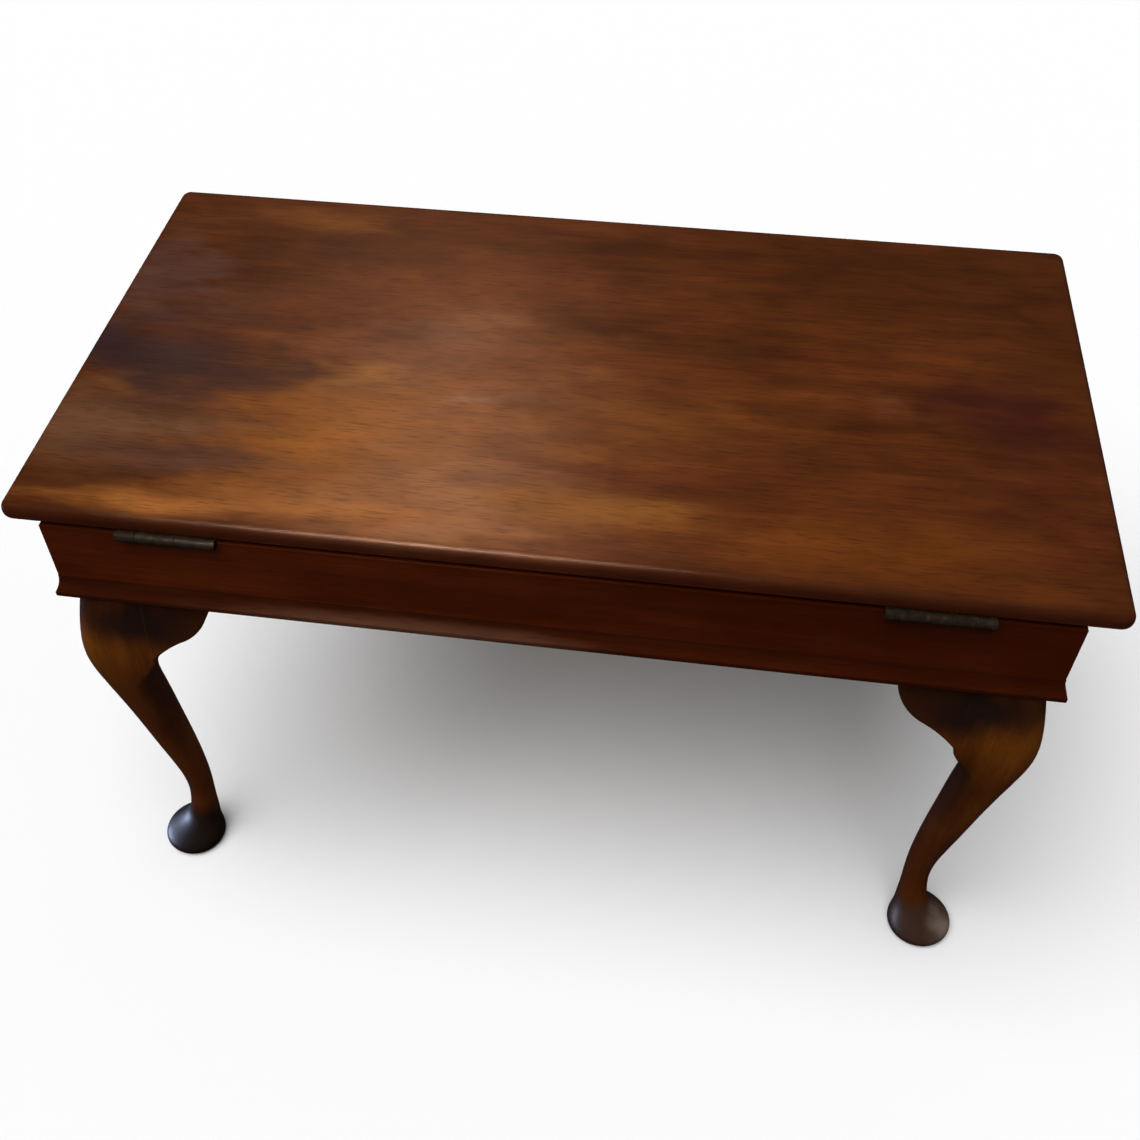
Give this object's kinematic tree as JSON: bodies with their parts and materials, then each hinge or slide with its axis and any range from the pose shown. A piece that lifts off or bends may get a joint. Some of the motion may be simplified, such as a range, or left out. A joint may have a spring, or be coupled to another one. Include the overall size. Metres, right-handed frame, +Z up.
{
  "type": "storage coffee table",
  "caption": "Low rectangular mahogany coffee table with a shallow storage box under a hinged lift-up lid, a base moulding and cabriole legs on round pad feet.",
  "frame": {"origin": "on the floor, under the middle of the table's outline", "axes": "+X along the table's length, +Y from the hinged side to the opening side, +Z up"},
  "size_m": [0.9, 0.4925, 0.52],
  "materials": {
    "top_mahogany": "polished",
    "rail_mahogany": "polished",
    "moulding_mahogany": "polished",
    "leg_mahogany": "polished",
    "batten_wood": "plain",
    "bottom_board": "plain",
    "hinge_brass": "tarnished",
    "stay_brass": "satin",
    "screw_brass": "satin"
  },
  "bodies": {
    "carcase": {"bottom_panel": "bottom_board", "far_left_end_ear": "leg_mahogany", "far_left_leg": "leg_mahogany", "far_left_rail_ear": "leg_mahogany", "far_moulding": "moulding_mahogany", "far_rail": "rail_mahogany", "far_right_end_ear": "leg_mahogany", "far_right_leg": "leg_mahogany", "far_right_rail_ear": "leg_mahogany", "left_end_rail": "rail_mahogany", "left_hinge_pin": "hinge_brass", "left_hinge_rail_leaf": "hinge_brass", "left_moulding": "moulding_mahogany", "near_left_end_ear": "leg_mahogany", "near_left_leg": "leg_mahogany", "near_left_rail_ear": "leg_mahogany", "near_moulding": "moulding_mahogany", "near_rail": "rail_mahogany", "near_right_end_ear": "leg_mahogany", "near_right_leg": "leg_mahogany", "near_right_rail_ear": "leg_mahogany", "panel_screws": "screw_brass", "post_screws": "screw_brass", "rail_leaf_screws": "screw_brass", "right_end_rail": "rail_mahogany", "right_hinge_pin": "hinge_brass", "right_hinge_rail_leaf": "hinge_brass", "right_moulding": "moulding_mahogany", "stay_plate": "stay_brass", "stay_plate_screws": "screw_brass"},
    "lid": {"lid_panel": "top_mahogany", "left_batten": "batten_wood", "right_batten": "batten_wood", "left_hinge_lid_leaf": "hinge_brass", "right_hinge_lid_leaf": "hinge_brass", "lid_leaf_screws": "screw_brass", "batten_screws": "screw_brass", "stay_bracket": "stay_brass", "stay_bracket_screws": "screw_brass"},
    "stay_arm": {"stay_arm": "stay_brass"},
    "stay_link": {"stay_link": "stay_brass"}
  },
  "joints": [
    {"name": "lid_hinge", "type": "hinge", "parent": "carcase", "child": "lid", "pos_m": [0, -0.24175, 0.502], "axis": [1, 0, 0], "range_deg": [0, 100]},
    {"name": "stay_arm_pivot", "type": "hinge", "parent": "carcase", "child": "stay_arm", "pos_m": [-0.3512, -0.19975, 0.456], "axis": [1, 0, 0], "range_deg": [0, 100]},
    {"name": "stay_link_pivot", "type": "hinge", "parent": "lid", "child": "stay_link", "pos_m": [-0.3484, -0.09175, 0.494], "axis": [1, 0, 0], "range_deg": [-100, 0]}
  ],
  "couplings": [
    {"joint": "stay_arm_pivot", "follows": "lid_hinge", "ratio": 1},
    {"joint": "stay_link_pivot", "follows": "lid_hinge", "ratio": -1}
  ]
}
